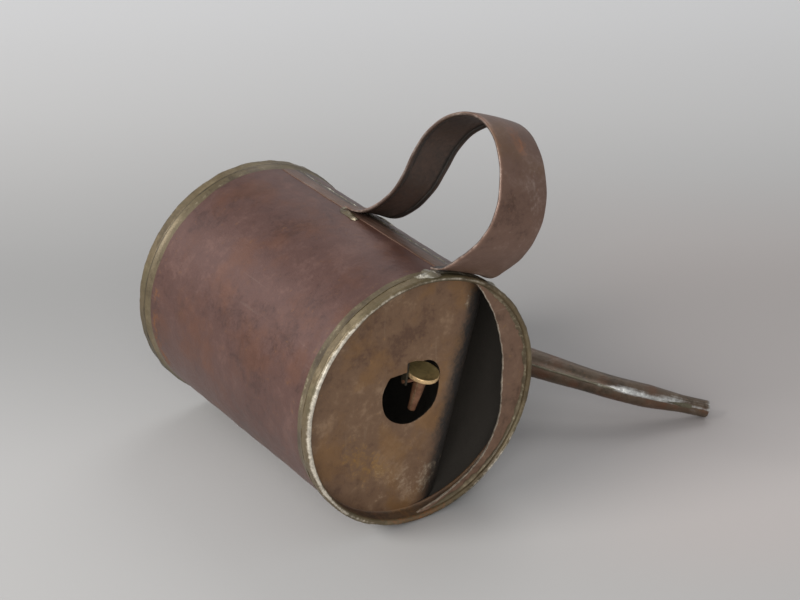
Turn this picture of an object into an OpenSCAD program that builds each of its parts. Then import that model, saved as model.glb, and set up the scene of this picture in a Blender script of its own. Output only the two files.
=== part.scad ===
// Small side-handled watering can in soldered sheet iron, lying on its side.
// Every piece is drawn in the can's own upright coordinates: Z up from the base along the
// can's axis, +X towards the spout. lying_down() then lays the whole can on its two rims and
// its spout tip, base towards +Y and mouth towards -Y, centred over the origin, floor at Z 0.

/* [Can] */
// Outer radius of both rims
rim_r = 55; // [52:0.5:60]
// Height of the can from base to rim
can_h = 138; // [130:1:150]
// Thickness of the sheet iron
sheet = 0.6; // [0.5:0.1:0.8]
// How far the rims stand out from the body
rim_step = 1.2; // [1:0.1:1.4]
// Height of each rim band
band_h = 5.2; // [4.5:0.1:6]
// How far the solder spreads beyond a rim band
solder_spread = 5; // [3:0.5:6]
// How deep the top plate sits below the rim
top_recess = 8; // [7:0.5:10]
// How high the base plate sits above the table
base_recess = 4; // [3:0.5:6]

/* [Side seam] */
// Direction of the lap seam, counterclockwise from the spout
seam_turn = 89.5; // [88:0.5:91]
// Width of the lap, as an angle
seam_span = 10; // [8:0.5:11]

/* [Top plate] */
// Direction in which the plate's edge is rolled down, from the spout
roll_turn = 3; // [0:1:6]
// Distance from the can's axis at which the plate starts to roll into the can, under the guard
roll_from = 15.5; // [15:0.5:18]
// Radius of that rolled edge
roll_r = 16; // [14:0.5:17]
// How deep the rolled edge reaches into the can
roll_deep = 5.7; // [4.5:0.1:6]
// Radius of the hole
hole_r = 13.9; // [13.5:0.1:14.3]
// Offset of the hole from the can's axis, sideways
hole_x = -0.6; // [-1:0.1:1]
// Offset of the hole from the can's axis, upwards as the can lies
hole_y = 1.1; // [-1:0.1:2]
// Radius of the notch beside the stopper
notch_r = 8.2; // [8.1:0.1:8.6]
// Height of the flat part of the hole's upper edge
flat_up = 10.8; // [10.2:0.2:12]

/* [Splash guard] */
// Width of the crescent guard at its middle
guard_w = 11.8; // [10:0.1:13]
// Direction of the middle of the guard, from the spout
guard_turn = 8; // [4:1:12]

/* [Handle] */
// Direction of the handle, counterclockwise from the spout
handle_turn = 85.5; // [84:0.5:87]
// Strap width at the rim
strap_w_front = 29; // [26:0.5:30]
// Strap width at the body
strap_w_back = 18; // [16:0.5:20]
// Strap thickness
strap_t = 0.8; // [0.7:0.1:1]
// Thickness of the strap's folded hems
hem_t = 1.8; // [1.4:0.1:2]

/* [Spout] */
// Height of the spout's centre where it meets the body
spout_root_z = 49; // [44:1:54]
// Slope of the lower spout from the can's axis
spout_slope = 45; // [43:0.5:47]
// Length of the straight lower spout
spout_leg = 85.4; // [80:0.2:90]
// How much the spout bends outwards
spout_bend = 17; // [12:0.5:20]
// Radius of that bend
bend_r = 90; // [80:1:100]
// Length of the tapered part after the bend
spout_taper = 16; // [14:0.5:18]
// Length of the straight outlet
outlet_l = 12.4; // [11:0.1:14]
// Outer diameter at the root
root_d = 16.8; // [16:0.1:18]
// Outer diameter through the bend
bend_d = 10.7; // [10:0.1:11.5]
// Outer diameter of the outlet
outlet_d = 8; // [7.6:0.1:8.6]

/* [Stopper] */
// Diameter of the brass head
head_d = 14; // [13:0.1:14]
// Thickness of the brass head
head_t = 2.2; // [1.8:0.1:2.3]
// Distance from the pin to the middle of the head
head_rise = 3.3; // [3.2:0.05:3.35]
// Diameter of the stem under the head
stem_d = 6; // [5.6:0.1:6.2]
// Diameter of the stem's end
stem_tip_d = 3.6; // [3.4:0.1:4.4]
// Length of the stem below the pin
stem_l = 15.5; // [14.5:0.5:15.5]
// Diameter of the pin
pin_d = 1.5; // [1.4:0.05:1.6]
// Radial clearance of the pin in the stem
pin_fit = 0.06; // [0.04:0.01:0.1]
// Turn of the pin from the floor line, about the can's axis
pin_turn = 8; // [5:1:11]
// Lean of the hanging stem into the can
stem_lean = 13.5; // [10:0.5:16]

/* [Hidden] */
$fn = 96;

iron = "#6b4a40";
dark_iron = "#5a4a42";
plate_iron = "#6f5a42";
tin_solder = "#8a8064";
bright_solder = "#b8b09a";
brass = "#b08a4c";

eps = 0.01;
body_r = rim_r - rim_step;
body_in = body_r - sheet;
flange_in = body_in - sheet;
lip_r = 1.3;
plate_z = can_h - top_recess;
base_z = base_recess;
solder_end = band_h + solder_spread;

// Spout route in the plane of the can's axis: [radial, height]
root_at = [body_r, spout_root_z];
leg_way = [sin(spout_slope), cos(spout_slope)];
tip_slope = spout_slope + spout_bend;
tip_way = [sin(tip_slope), cos(tip_slope)];
bend_in = root_at + spout_leg * leg_way;
bend_mid = bend_in + bend_r * [cos(spout_slope), -sin(spout_slope)];
bend_out = bend_mid - bend_r * [cos(tip_slope), -sin(tip_slope)];
taper_out = bend_out + spout_taper * tip_way;
outlet_at = taper_out + outlet_l * tip_way;
spout_lead = 14;
joint_step = 0.05;
joint_lap = 0.3;

// The can lies on its rims and on the lowest point of the outlet
outlet_low = outlet_d / 2 * cos(asin(tip_way[0] * sin(18.5)));
lie_roll = asin((rim_r - outlet_low) / outlet_at[0]);

// Stopper pin in the can's lying directions: [right, up] from the axis, and depth behind the plate
pin_right = 5.1;
pin_up = 5.2;
pin_depth = 1.9;
head_low = head_rise - head_t / 2;
pin_l = 17.6;
ear_t = 0.9;
strip_up = 10.2;
strip_h = 4;
ear_low = 1.2;
ear_deep = 3.2;

// Handle route in the plane of the can's axis: [height above the rim, radial]
handle_route = [
    [-7.5, 55.7], [-3.2, 55.75], [1, 57.4], [5.6, 61.6], [10.8, 67.6], [14.8, 75.2], [16.6, 85.4],
    [13.4, 96.8], [4.6, 108.6], [-8, 116], [-22, 115.8], [-36, 108.4], [-44.2, 97.5], [-47, 86.2],
    [-49, 75.8], [-55.6, 65.2], [-65.4, 57.4], [-72.6, 55.2], [-78, 55.2],
];
strap_steps = 3;
crown = 0.004;
flat_rings = 5;

// ---- shared shapes ----

// Lays the upright can down: mouth to -Y, spout tip on the floor, centred on the origin
reach_x = outlet_at[0] * cos(lie_roll) + outlet_d / 4;
front_y = can_h + 17;
module lying_down() {
    translate([(rim_r - reach_x) / 2, front_y / 2, rim_r])
        rotate([0, lie_roll, 0])
            rotate([90, 0, 0])
                children();
}

// Turns a shape that is drawn right and up as the can lies, seen from in front of the mouth
module as_seen() {
    rotate([0, 0, lie_roll]) children();
}

module ring(r_in, r_out, z0, z1) {
    translate([0, 0, z0]) difference() {
        cylinder(r = r_out, h = z1 - z0);
        translate([0, 0, -eps]) cylinder(r = r_in, h = z1 - z0 + 2 * eps);
    }
}

// A piece of ring between two radii, centred on one direction
module ring_piece(r_in, r_out, z0, z1, mid, span) {
    rotate([0, 0, mid - span / 2])
        rotate_extrude(angle = span)
            translate([r_in, z0]) square([r_out - r_in, z1 - z0]);
}

// Frame at a point of the spout's route, Z along the given slope
module at_spout(p, slope) {
    translate([p[0], 0, p[1]]) rotate([0, slope, 0]) children();
}

// Solid cone of the straight lower spout, from inside the can; grow 0 is its outside
module spout_leg_cone(grow) {
    flare = (root_d - bend_d) / 2 * spout_lead / spout_leg;
    at_spout(root_at - spout_lead * leg_way, spout_slope)
        cylinder(
            r1 = root_d / 2 + flare + grow,
            r2 = bend_d / 2 - joint_step + grow,
            h = spout_leg + spout_lead + joint_lap
        );
}

// Solid of the whole spout; at each joint the narrower piece runs a little way into the other
module spout_solid(grow, tail) {
    spout_leg_cone(grow);
    translate([bend_mid[0], 0, bend_mid[1]])
        rotate([90, 0, 0])
            rotate([0, 0, 180 - tip_slope])
                rotate_extrude(angle = spout_bend)
                    translate([bend_r, 0]) circle(r = bend_d / 2 + grow, $fn = 48);
    at_spout(bend_out - joint_lap * tip_way, tip_slope)
        cylinder(
            r1 = bend_d / 2 - joint_step + grow,
            r2 = outlet_d / 2 + joint_step + grow,
            h = spout_taper + joint_lap
        );
    at_spout(taper_out - joint_lap * tip_way, tip_slope)
        cylinder(r = outlet_d / 2 + grow, h = outlet_l + joint_lap + tail);
}

// ---- body ----

module body_shell() {
    color(iron) lying_down() difference() {
        ring(body_in, body_r, lip_r, can_h - lip_r);
        spout_leg_cone(0);
    }
}

module side_seam_lap() {
    color(tin_solder) lying_down()
        ring_piece(body_r, body_r + 0.5, solder_end, can_h - solder_end, seam_turn, seam_span);
}

module side_seam_solder() {
    bead = 1.2;
    color(bright_solder) lying_down()
        ring_piece(body_r, body_r + 0.7, solder_end, can_h - solder_end,
            seam_turn - seam_span / 2 - bead / 2, bead);
}

// ---- ends ----

// A pan-shaped end: a flat disc with its edge turned up inside the body
module end_pan(z_face, depth) {
    translate([0, 0, z_face]) cylinder(r = body_in, h = sheet);
    ring(flange_in, body_in, z_face + sheet, z_face + depth - lip_r);
}

module base_plate() {
    color(iron) lying_down()
        translate([0, 0, base_z + sheet]) mirror([0, 0, 1]) end_pan(0, base_z + sheet);
}

module base_rim_band() {
    foot = 0.9;
    color(tin_solder) lying_down() rotate_extrude() difference() {
        polygon([
            [flange_in - 0.2, lip_r + 0.8], [flange_in - 0.2, 0.9], [flange_in + 0.4, 0],
            [flange_in + 0.4 + foot, 0], [rim_r - 0.3, 0.3], [rim_r, lip_r],
            [rim_r, band_h - 0.5], [rim_r - 0.4, band_h], [body_r, band_h], [body_r, lip_r + 0.8],
        ]);
        translate([flange_in, lip_r]) square([2 * sheet, band_h]);
    }
}

// Solder drawn out thin along the body from the edge of a rim band
module rim_fillet() {
    rotate_extrude() polygon([
        [body_r, band_h], [rim_r - 0.3, band_h], [body_r + 0.45, band_h + 1.4],
        [body_r + 0.25, band_h + solder_spread * 0.6], [body_r + 0.06, solder_end],
        [body_r, solder_end],
    ]);
}

module base_rim_solder() {
    color(tin_solder) lying_down() rim_fillet();
}

// The hole: round, with a flat upper edge at the left and a notch at the upper right
notch_right = 5.6;
notch_at = 5.9;
flat_right = -2.2;
module filler_hole(h) {
    difference() {
        translate([hole_x, hole_y, 0]) cylinder(r = hole_r, h = h);
        translate([flat_right - 2 * hole_r, flat_up, -eps]) cube([2 * hole_r, hole_r, h + 2 * eps]);
    }
    translate([notch_right, notch_at, 0]) cylinder(r = notch_r, h = h);
}

// Under the guard the plate stops in a rolled edge, which leaves a gap to pour the water in by
module rolled_edge() {
    intersection() {
        translate([roll_from, 0, plate_z - roll_r]) rotate([90, 0, 0]) difference() {
            cylinder(r = roll_r - joint_step, h = 2 * rim_r, center = true);
            cylinder(r = roll_r - sheet + joint_step, h = 3 * rim_r, center = true);
        }
        translate([roll_from, -rim_r, plate_z - roll_deep]) cube([2 * roll_r, 2 * rim_r, roll_r]);
        translate([0, 0, plate_z - 2 * roll_r]) cylinder(r = body_in - joint_lap, h = 3 * roll_r);
    }
}

module top_plate() {
    roll_overlap = 0.5;
    color(plate_iron) lying_down() {
        difference() {
            end_pan(plate_z - sheet, top_recess + sheet);
            translate([0, 0, plate_z - 3 * sheet]) as_seen() filler_hole(5 * sheet);
            rotate([0, 0, roll_turn])
                translate([roll_from + roll_overlap, -rim_r, plate_z - 1.5 * sheet])
                    cube([rim_r, 2 * rim_r, 2 * sheet]);
        }
        rotate([0, 0, roll_turn]) rolled_edge();
    }
}

module top_rim_band() {
    color(tin_solder) lying_down() rotate_extrude() difference() {
        union() {
            translate([rim_r - lip_r, can_h - lip_r]) circle(r = lip_r, $fn = 32);
            translate([body_r, can_h - band_h]) square([rim_step, band_h - lip_r]);
        }
        translate([flange_in, can_h - band_h - lip_r]) square([2 * sheet, band_h]);
    }
}

module top_rim_solder() {
    color(tin_solder) lying_down() translate([0, 0, can_h]) mirror([0, 0, 1]) rim_fillet();
}

// ---- splash guard ----

guard_z = can_h - lip_r - 1.6;
guard_t = 0.7;
guard_out = flange_in;
guard_in = 68;
guard_horn = 62;
guard_shift = guard_in + guard_w - guard_out;
module guard_outline() {
    rotate([0, 0, guard_turn]) difference() {
        circle(r = guard_out);
        translate([-guard_shift, 0]) circle(r = guard_in);
    }
}

module splash_guard() {
    color(iron) lying_down() translate([0, 0, guard_z])
        linear_extrude(height = guard_t) guard_outline();
}

module splash_guard_solder() {
    color(tin_solder) lying_down() rotate([0, 0, guard_turn - guard_horn])
        rotate_extrude(angle = 2 * guard_horn)
            translate([flange_in - 0.25, guard_z + guard_t])
                polygon([[0, 0], [-1.5, 0], [-0.5, 0.45], [0, 1.4]]);
}

// ---- handle ----

function spline(a, b, c, d, t) =
    0.5 * (2 * b + (c - a) * t + (2 * a - 5 * b + 4 * c - d) * t * t
    + (3 * b - a - 3 * c + d) * t * t * t);
last = len(handle_route) - 1;
function route_at(i) = handle_route[max(0, min(last, i))];
strap_line = [
    for (i = [0:last - 1]) for (k = [0:strap_steps - 1])
        spline(route_at(i - 1), route_at(i), route_at(i + 1), route_at(i + 2), k / strap_steps),
    handle_route[last],
];
rings = len(strap_line);
function way_at(i) =
    let (a = strap_line[max(0, i - 1)], b = strap_line[min(rings - 1, i + 1)]) (b - a) / norm(b - a);
// Across the strap: share of the half width, and how far the sheet is folded double there
strap_across = [-1, -0.93, -0.84, -0.5, 0, 0.5, 0.84, 0.93, 1];
function is_hem(u) = abs(u) > 0.9;
// The feet are dressed to the curve of the rim or body; the loop is only slightly crowned
function foot_share(i) =
    max(0, 1 - i / 9, 1 - (rings - 1 - i) / 9);
function foot_drop(i, x) =
    let (r = strap_line[i][1]) foot_share(i) * (r - sqrt(r * r - x * x));
function crown_drop(i, x) = (1 - foot_share(i)) * crown * x * x;
function strap_half(i) =
    (strap_w_front + (strap_w_back - strap_w_front) * i / (rings - 1)) / 2;
// The hems are folded to the inside of the loop, and hammered flat near the feet
function hem_back(i, u) =
    is_hem(u) && i > flat_rings && i < rings - 1 - flat_rings ? hem_t - strap_t / 2 : strap_t / 2;
function strap_point(i, u, out) =
    let (w = way_at(i), n = [w[1], -w[0]], x = u * strap_half(i),
        lift = (out ? strap_t / 2 : -hem_back(i, u)) - crown_drop(i, x),
        p = strap_line[i] + lift * n - [0, foot_drop(i, x)])
    [p[1], x, can_h + p[0]];
n_across = len(strap_across);
n_ring = 2 * n_across;
strap_points = [
    for (i = [0:rings - 1]) each concat(
        [for (u = strap_across) strap_point(i, u, true)],
        [for (k = [n_across - 1:-1:0]) strap_point(i, strap_across[k], false)]),
];
strap_faces = concat(
    [[for (k = [0:n_ring - 1]) k]],
    [for (i = [0:rings - 2]) for (k = [0:n_ring - 1])
        [i * n_ring + k, (i + 1) * n_ring + k, (i + 1) * n_ring + (k + 1) % n_ring, i * n_ring + (k + 1) % n_ring]],
    [[for (k = [n_ring - 1:-1:0]) (rings - 1) * n_ring + k]]);

module handle_strap() {
    color(dark_iron) lying_down() rotate([0, 0, handle_turn])
        polyhedron(points = strap_points, faces = strap_faces, convexity = 8);
}

// Film of solder under the front foot, with a blob at each side of it
module handle_front_solder() {
    foot_span = 2 * asin(strap_w_front / 2 / rim_r);
    color(bright_solder) lying_down() {
        ring_piece(rim_r, rim_r + 0.25, can_h - 7, can_h - lip_r, handle_turn, foot_span + 2);
        for (side = [-1, 1]) rotate([0, 0, handle_turn + side * (foot_span / 2 + 3)])
            difference() {
                translate([rim_r - 0.4, 0, can_h - 4]) sphere(r = 2, $fn = 32);
                translate([0, 0, can_h - 9]) cylinder(r = rim_r, h = 10);
            }
    }
}

module handle_back_solder() {
    foot_span = 2 * asin(strap_w_back / 2 / body_r);
    z0 = can_h - 80.5;
    z1 = can_h - 67;
    color(tin_solder) lying_down() difference() {
        ring_piece(body_r, body_r + 0.9, z0, z1, handle_turn, foot_span + 4);
        ring_piece(body_r - 1, body_r + 0.5, z0 - 1, z1 + 1, seam_turn, seam_span);
        ring_piece(body_r - 1, body_r + 0.7, z0 - 1, z1 + 1, seam_turn - seam_span / 2 - 0.6, 1.2);
    }
}

// ---- spout ----

module spout_tube() {
    color(dark_iron) lying_down() difference() {
        spout_solid(0, 0);
        spout_solid(-sheet, 1);
        cylinder(r = body_in, h = can_h);
    }
}

module spout_root_solder() {
    rise = 5;
    color(tin_solder) lying_down() difference() {
        at_spout(root_at - 10 * leg_way, spout_slope)
            cylinder(r1 = root_d / 2 + 6, r2 = root_d / 2 + 0.3, h = rise + 10);
        spout_leg_cone(0);
        cylinder(r = body_r, h = can_h);
    }
}

// Bead of solder along the spout's seam, on the mouth side and turned up a little as the can lies
seam_rings = 28;
seam_from = 14;
seam_to = 132;
seam_side = 16;
function spout_s(s) =
    s < spout_leg ? root_at + s * leg_way
    : s < spout_leg + bend_r * spout_bend * PI / 180
        ? let (a = spout_slope + (s - spout_leg) / bend_r * 180 / PI) bend_mid - bend_r * [cos(a), -sin(a)]
        : bend_out + (s - spout_leg - bend_r * spout_bend * PI / 180) * tip_way;
function slope_s(s) =
    s < spout_leg ? spout_slope : min(tip_slope, spout_slope + (s - spout_leg) / bend_r * 180 / PI);
bend_end = spout_leg + bend_r * spout_bend * PI / 180;
function radius_s(s) =
    s < spout_leg ? (root_d + (bend_d - root_d) * s / spout_leg) / 2
    : s < bend_end ? bend_d / 2
    : s < bend_end + spout_taper ? (bend_d + (outlet_d - bend_d) * (s - bend_end) / spout_taper) / 2
    : outlet_d / 2;
function seam_point(s, turn, lift) =
    let (p = spout_s(s), a = slope_s(s), r = radius_s(s) + lift, c = r * cos(turn), q = r * sin(turn))
    [p[0] - c * cos(a), q, p[1] + c * sin(a)];
seam_ring = [[-11, 0], [-6, 0.4], [6, 0.4], [11, 0]];
seam_points = [
    for (i = [0:seam_rings]) let (s = seam_from + (seam_to - seam_from) * i / seam_rings)
        for (k = seam_ring) seam_point(s, seam_side + k[0], k[1]),
];
seam_faces = concat(
    [[0, 1, 2, 3]],
    [for (i = [0:seam_rings - 1]) for (k = [0:3])
        [4 * i + k, 4 * i + 4 + k, 4 * i + 4 + (k + 1) % 4, 4 * i + (k + 1) % 4]],
    [[for (k = [3:-1:0]) 4 * seam_rings + k]]);

module spout_seam_solder() {
    color(bright_solder) lying_down()
        polyhedron(points = seam_points, faces = seam_faces, convexity = 6);
}

// ---- stopper ----

// Pin frame: X along the pin, Z up the hanging stem, -Y out of the mouth
module at_pin() {
    translate([0, 0, plate_z]) as_seen()
        translate([pin_right, pin_up, -pin_depth])
            rotate([-90, 0, 0]) rotate([0, pin_turn, 0]) children();
}

// The hanging stopper leans because its pin is off the middle line of its stem
brass_to_iron = 1.08;
head_mass = head_d * head_d * head_t * brass_to_iron;
stem_len = head_low + stem_l;
stem_sum = stem_d * stem_d + stem_d * stem_tip_d + stem_tip_d * stem_tip_d;
stem_mass = stem_len * stem_sum / 3;
stem_top_share = (stem_sum + stem_d * stem_tip_d + 2 * stem_tip_d * stem_tip_d) / stem_sum / 4;
stem_mid = head_low - stem_len * stem_top_share;
mass_z = (head_mass * head_rise + stem_mass * stem_mid) / (head_mass + stem_mass);
module in_stopper() {
    at_pin() rotate([stem_lean, 0, 0]) translate([0, mass_z * tan(stem_lean), 0]) children();
}

module stopper_head() {
    color(brass) lying_down() in_stopper()
        translate([0, 0, head_low]) cylinder(d = head_d, h = head_t);
}

module stopper_stem() {
    color(dark_iron) lying_down() difference() {
        in_stopper() translate([0, 0, -stem_l]) cylinder(d1 = stem_tip_d, d2 = stem_d, h = stem_len);
        at_pin() rotate([0, 90, 0]) cylinder(d = pin_d + 2 * pin_fit, h = 2 * stem_d, center = true);
    }
}

module stopper_pin() {
    color(dark_iron) lying_down() at_pin()
        rotate([0, 90, 0]) cylinder(d = pin_d, h = pin_l, center = true);
}

// Two ears behind the plate carry the pin, joined by a strip above the hole and its notch
module stopper_bracket() {
    ear_x = pin_l / 2 - ear_t - 0.5;
    plate_back = sheet - pin_depth;
    color(iron) lying_down() difference() {
        at_pin() {
            for (x = [-ear_x - ear_t, ear_x])
                translate([x, plate_back, -ear_low]) cube([ear_t, ear_deep, strip_up + strip_h + ear_low]);
            translate([-ear_x, plate_back, strip_up]) cube([2 * ear_x, ear_t, strip_h]);
        }
        at_pin() rotate([0, 90, 0]) cylinder(d = pin_d, h = 2 * pin_l, center = true);
    }
}

body_shell();
side_seam_lap();
side_seam_solder();
base_plate();
base_rim_band();
base_rim_solder();
top_plate();
top_rim_band();
top_rim_solder();
splash_guard();
splash_guard_solder();
handle_strap();
handle_front_solder();
handle_back_solder();
spout_tube();
spout_seam_solder();
spout_root_solder();
stopper_head();
stopper_stem();
stopper_pin();
stopper_bracket();
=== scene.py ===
import math

import bmesh
import bpy
import numpy as np
from mathutils import Matrix, Vector


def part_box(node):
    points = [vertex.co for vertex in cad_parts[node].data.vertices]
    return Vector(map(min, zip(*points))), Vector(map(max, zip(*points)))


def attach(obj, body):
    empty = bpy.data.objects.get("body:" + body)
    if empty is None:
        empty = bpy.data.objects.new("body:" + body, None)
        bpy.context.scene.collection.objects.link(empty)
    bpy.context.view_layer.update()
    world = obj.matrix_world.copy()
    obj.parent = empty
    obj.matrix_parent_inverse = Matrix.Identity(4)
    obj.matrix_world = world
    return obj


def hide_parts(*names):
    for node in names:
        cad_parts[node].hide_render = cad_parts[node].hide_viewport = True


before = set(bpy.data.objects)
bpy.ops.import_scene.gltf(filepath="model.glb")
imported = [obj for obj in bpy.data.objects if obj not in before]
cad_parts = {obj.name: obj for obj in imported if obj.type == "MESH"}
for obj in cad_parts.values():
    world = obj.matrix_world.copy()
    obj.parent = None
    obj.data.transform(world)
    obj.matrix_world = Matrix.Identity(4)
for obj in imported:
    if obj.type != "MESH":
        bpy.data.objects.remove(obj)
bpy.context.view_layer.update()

MM = 0.001
CAN, STOPPER = "can", "stopper"

# ---- the can's own coordinates, in millimetres: Z from base to mouth, X towards the spout ----

RIM_R, CAN_H, SHEET = 55.0, 138.0, 0.6
BODY_R, BODY_IN, FLANGE_IN = 53.8, 53.2, 52.6
PLATE_Z, LIP_R = 130.0, 1.3
SPOUT_Z, SPOUT_SLOPE, SPOUT_BEND, SPOUT_LEG, BEND_R = 49.0, 45.0, 17.0, 85.4, 90.0
TAPER_L, OUTLET_L = 16.0, 12.4
ROOT_R, BEND_TUBE_R, OUTLET_R = 8.4, 5.35, 4.0
TIP_SLOPE = SPOUT_SLOPE + SPOUT_BEND

rad = math.radians
TURN = 6.283
SHARP = 38  # degrees between faces from which an edge is shaded as an edge
leg_way = np.array([math.sin(rad(SPOUT_SLOPE)), math.cos(rad(SPOUT_SLOPE))])
tip_way = np.array([math.sin(rad(TIP_SLOPE)), math.cos(rad(TIP_SLOPE))])
root_at = np.array([BODY_R, SPOUT_Z])
bend_in = root_at + SPOUT_LEG * leg_way
bend_mid = bend_in + BEND_R * np.array([leg_way[1], -leg_way[0]])
bend_out = bend_mid - BEND_R * np.array([tip_way[1], -tip_way[0]])
outlet_at = bend_out + (TAPER_L + OUTLET_L) * tip_way
outlet_low = OUTLET_R * math.cos(math.asin(tip_way[0] * math.sin(rad(18.5))))
ROLL = math.asin((RIM_R - outlet_low) / outlet_at[0])
ROLL_DEG = math.degrees(ROLL)
UP_DEG = 90 + ROLL_DEG

rim_lo, rim_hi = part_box("base_rim_band")
AXIS_X = (rim_lo.x + rim_hi.x) / 2 / MM
AXIS_Z = (rim_lo.z + rim_hi.z) / 2 / MM
BASE_Y = rim_hi.y / MM


def rot(axis, degrees):
    return np.array(Matrix.Rotation(rad(degrees), 4, axis))


def shift(x, y, z):
    return np.array(Matrix.Translation((x, y, z)))


# The stopper's pin behind the plate: place from the mouth's middle [right, up, in front] and its turn
PIN_AT, PIN_TURN = (5.1, 5.2, -1.9), 8
LAY = shift(AXIS_X, BASE_Y, AXIS_Z) @ rot("Y", ROLL_DEG) @ rot("X", 90)
AT_PIN = LAY @ shift(0, 0, PLATE_Z) @ rot("Z", ROLL_DEG) @ shift(*PIN_AT)
AT_PIN = AT_PIN @ rot("X", -90) @ rot("Y", PIN_TURN)


def lay(points, frame_of=LAY):
    """Points of the can's own coordinates, in mm, in the row frame, in metres."""
    p = np.asarray(points, float).reshape(-1, 3)
    return (p @ frame_of[:3, :3].T + frame_of[:3, 3]) * MM


def full_turn(count):
    """Evenly spread directions in degrees."""
    return np.linspace(0, 360, count, endpoint=False)


def polar(angle, r, z):
    """Points in the direction angle, in degrees, at radius r and height z."""
    a = np.radians(angle)
    return np.stack(np.broadcast_arrays(r * np.cos(a), r * np.sin(a), z), -1)


# ---- smooth seeded unevenness ----


def waves(seed, count, low, high, dims):
    """Wave directions with lengths between these, and their phases."""
    g = np.random.default_rng(seed)
    k = g.normal(size=(count, dims))
    k /= np.linalg.norm(k, axis=1)[:, None]
    return k * np.exp(g.uniform(math.log(low), math.log(high), count))[:, None], g.uniform(0, TURN, count)


def uneven(points, seed, size, count=14, spread=3.0):
    """Smooth noise of about -1 to 1, with lumps of about that size in mm."""
    p = np.asarray(points, float)
    k, ph = waves(seed, count, TURN / (size * spread), TURN / size, p.shape[-1])
    return np.sin(p @ k.T + ph).sum(-1) / math.sqrt(count)


def uneven_at(point, seed, size):
    return float(uneven(np.array([point], float), seed, size)[0])


def smooth(x, a, b):
    """0 up to a, 1 from b."""
    t = np.clip((np.asarray(x, float) - a) / (b - a), 0, 1)
    return t * t * (3 - 2 * t)


def near(x, mid, width):
    """1 at mid, falling off on both sides by about this width."""
    return np.exp(-(((x - mid) / width) ** 2))


def even_out(row, times):
    """Smooths a row of numbers or points, its ends staying where they are."""
    for _ in range(times):
        row[1:-1] = (row[:-2] + 2 * row[1:-1] + row[2:]) / 4


def turn_gap(angle, mid):
    """Signed difference of two directions in degrees."""
    return (np.asarray(angle) - mid + 180) % 360 - 180


def toward(angle, mid, width):
    """Soft mask, 1 at one direction and falling off by about this width in degrees."""
    return near(turn_gap(angle, mid), 0, width)


def seen(angle):
    """Direction from straight up, clockwise as seen from in front of the mouth."""
    return turn_gap(UP_DEG - np.asarray(angle), 0)


# ---- meshes ----


def link(name, data):
    o = bpy.data.objects.new(name, data)
    bpy.context.scene.collection.objects.link(o)
    return o


def closed_mesh(name, co, faces):
    """Mesh with its faces turned outwards."""
    me = bpy.data.meshes.new(name)
    me.from_pydata([tuple(c) for c in co], [], faces)
    me.validate()
    bm = bmesh.new()
    bm.from_mesh(me)
    bmesh.ops.recalc_face_normals(bm, faces=bm.faces)
    bm.to_mesh(me)
    bm.free()
    return me


def piece(name, co, faces, node, key, masks, body=CAN):
    """Piece that stands for a CAD node; masks, from 0 to 1, say where it is worn and where highlights are
    painted, where it is rusty, and where it is dirty and where shade is painted.
    """
    me = closed_mesh(name, co, faces)
    me.polygons.foreach_set("use_smooth", [True] * len(me.polygons))
    me.set_sharp_from_angle(angle=rad(SHARP))
    layer = me.attributes.new("mask", "FLOAT_COLOR", "POINT")
    values = np.zeros((len(co), 4), np.float32)
    values[:, 3] = 1
    for i, kind in enumerate(("wear_and_highlight", "rust", "grime_and_shade")):
        if kind in masks:
            values[:, i] = np.clip(np.asarray(masks[kind], float).reshape(-1), 0, 1)
    layer.data.foreach_set("color", values.reshape(-1))
    me.materials.append(M[key])
    o = link(name, me)
    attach(o, body)
    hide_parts(node)
    return o


def grid_faces(nu, nv, close_u, close_v):
    faces = []
    for i in range(nu if close_u else nu - 1):
        for j in range(nv if close_v else nv - 1):
            a, b = i * nv + j, ((i + 1) % nu) * nv + j
            c, d = ((i + 1) % nu) * nv + (j + 1) % nv, i * nv + (j + 1) % nv
            faces.append((a, b, c, d))
    return faces


def tube_faces(nu, nv, ring):
    """Faces between rings of points; ring joins the last to the first, otherwise both ends are closed."""
    faces = grid_faces(nu, nv, ring, True)
    if not ring:
        faces.append(tuple(range(nv)))
        faces.append(tuple((nu - 1) * nv + j for j in range(nv - 1, -1, -1)))
    return faces


def tube_of(name, P, node, key, masks, ring=False, body=CAN, frame_of=LAY):
    """Closed solid from rings of points, P[i, j] being point j of ring i."""
    return piece(name, lay(P, frame_of), tube_faces(*P.shape[:2], ring), node, key, masks, body)


def merge(name, parts, node, key, masks_of):
    """One piece from several closed lumps."""
    co, faces = [], []
    for v, f in parts:
        n = sum(len(c) for c in co)
        co.append(v)
        faces += [tuple(n + i for i in face) for face in f]
    co = np.concatenate(co)
    return piece(name, lay(co), faces, node, key, masks_of(co))


def dense(profile, step):
    """A closed outline with points no further apart than step."""
    out = []
    for a, b in zip(profile, profile[1:] + profile[:1]):
        n = max(1, math.ceil(math.dist(a, b) / step))
        out += [np.array(a) + (np.array(b) - np.array(a)) * k / n for k in range(n)]
    return np.array(out)


def arc(centre, r, start, stop, n):
    return [tuple(p) for p in polar(np.linspace(start, stop, n), r, 0)[:, :2] + centre]


def spin(profile, angles):
    """Rings of a profile [(radius, height)] at these directions."""
    a = np.asarray(angles)[:, None]
    return polar(a, profile[None, :, 0], profile[None, :, 1])


def cyl(P):
    """Direction in degrees, radius and height of points."""
    return np.degrees(np.arctan2(P[..., 1], P[..., 0])), np.hypot(P[..., 0], P[..., 1]), P[..., 2]


# ---- materials ----


def lin(rgb):
    """Linear colour, with alpha, of an sRGB colour given as 0 to 255."""
    c = np.array(rgb, float) / 255
    c = np.where(c <= 0.04045, c / 12.92, ((c + 0.055) / 1.055) ** 2.4)
    return (*c.tolist(), 1.0)


def scaled(rgb, k):
    return tuple(min(255, c * k) for c in rgb)


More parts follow.
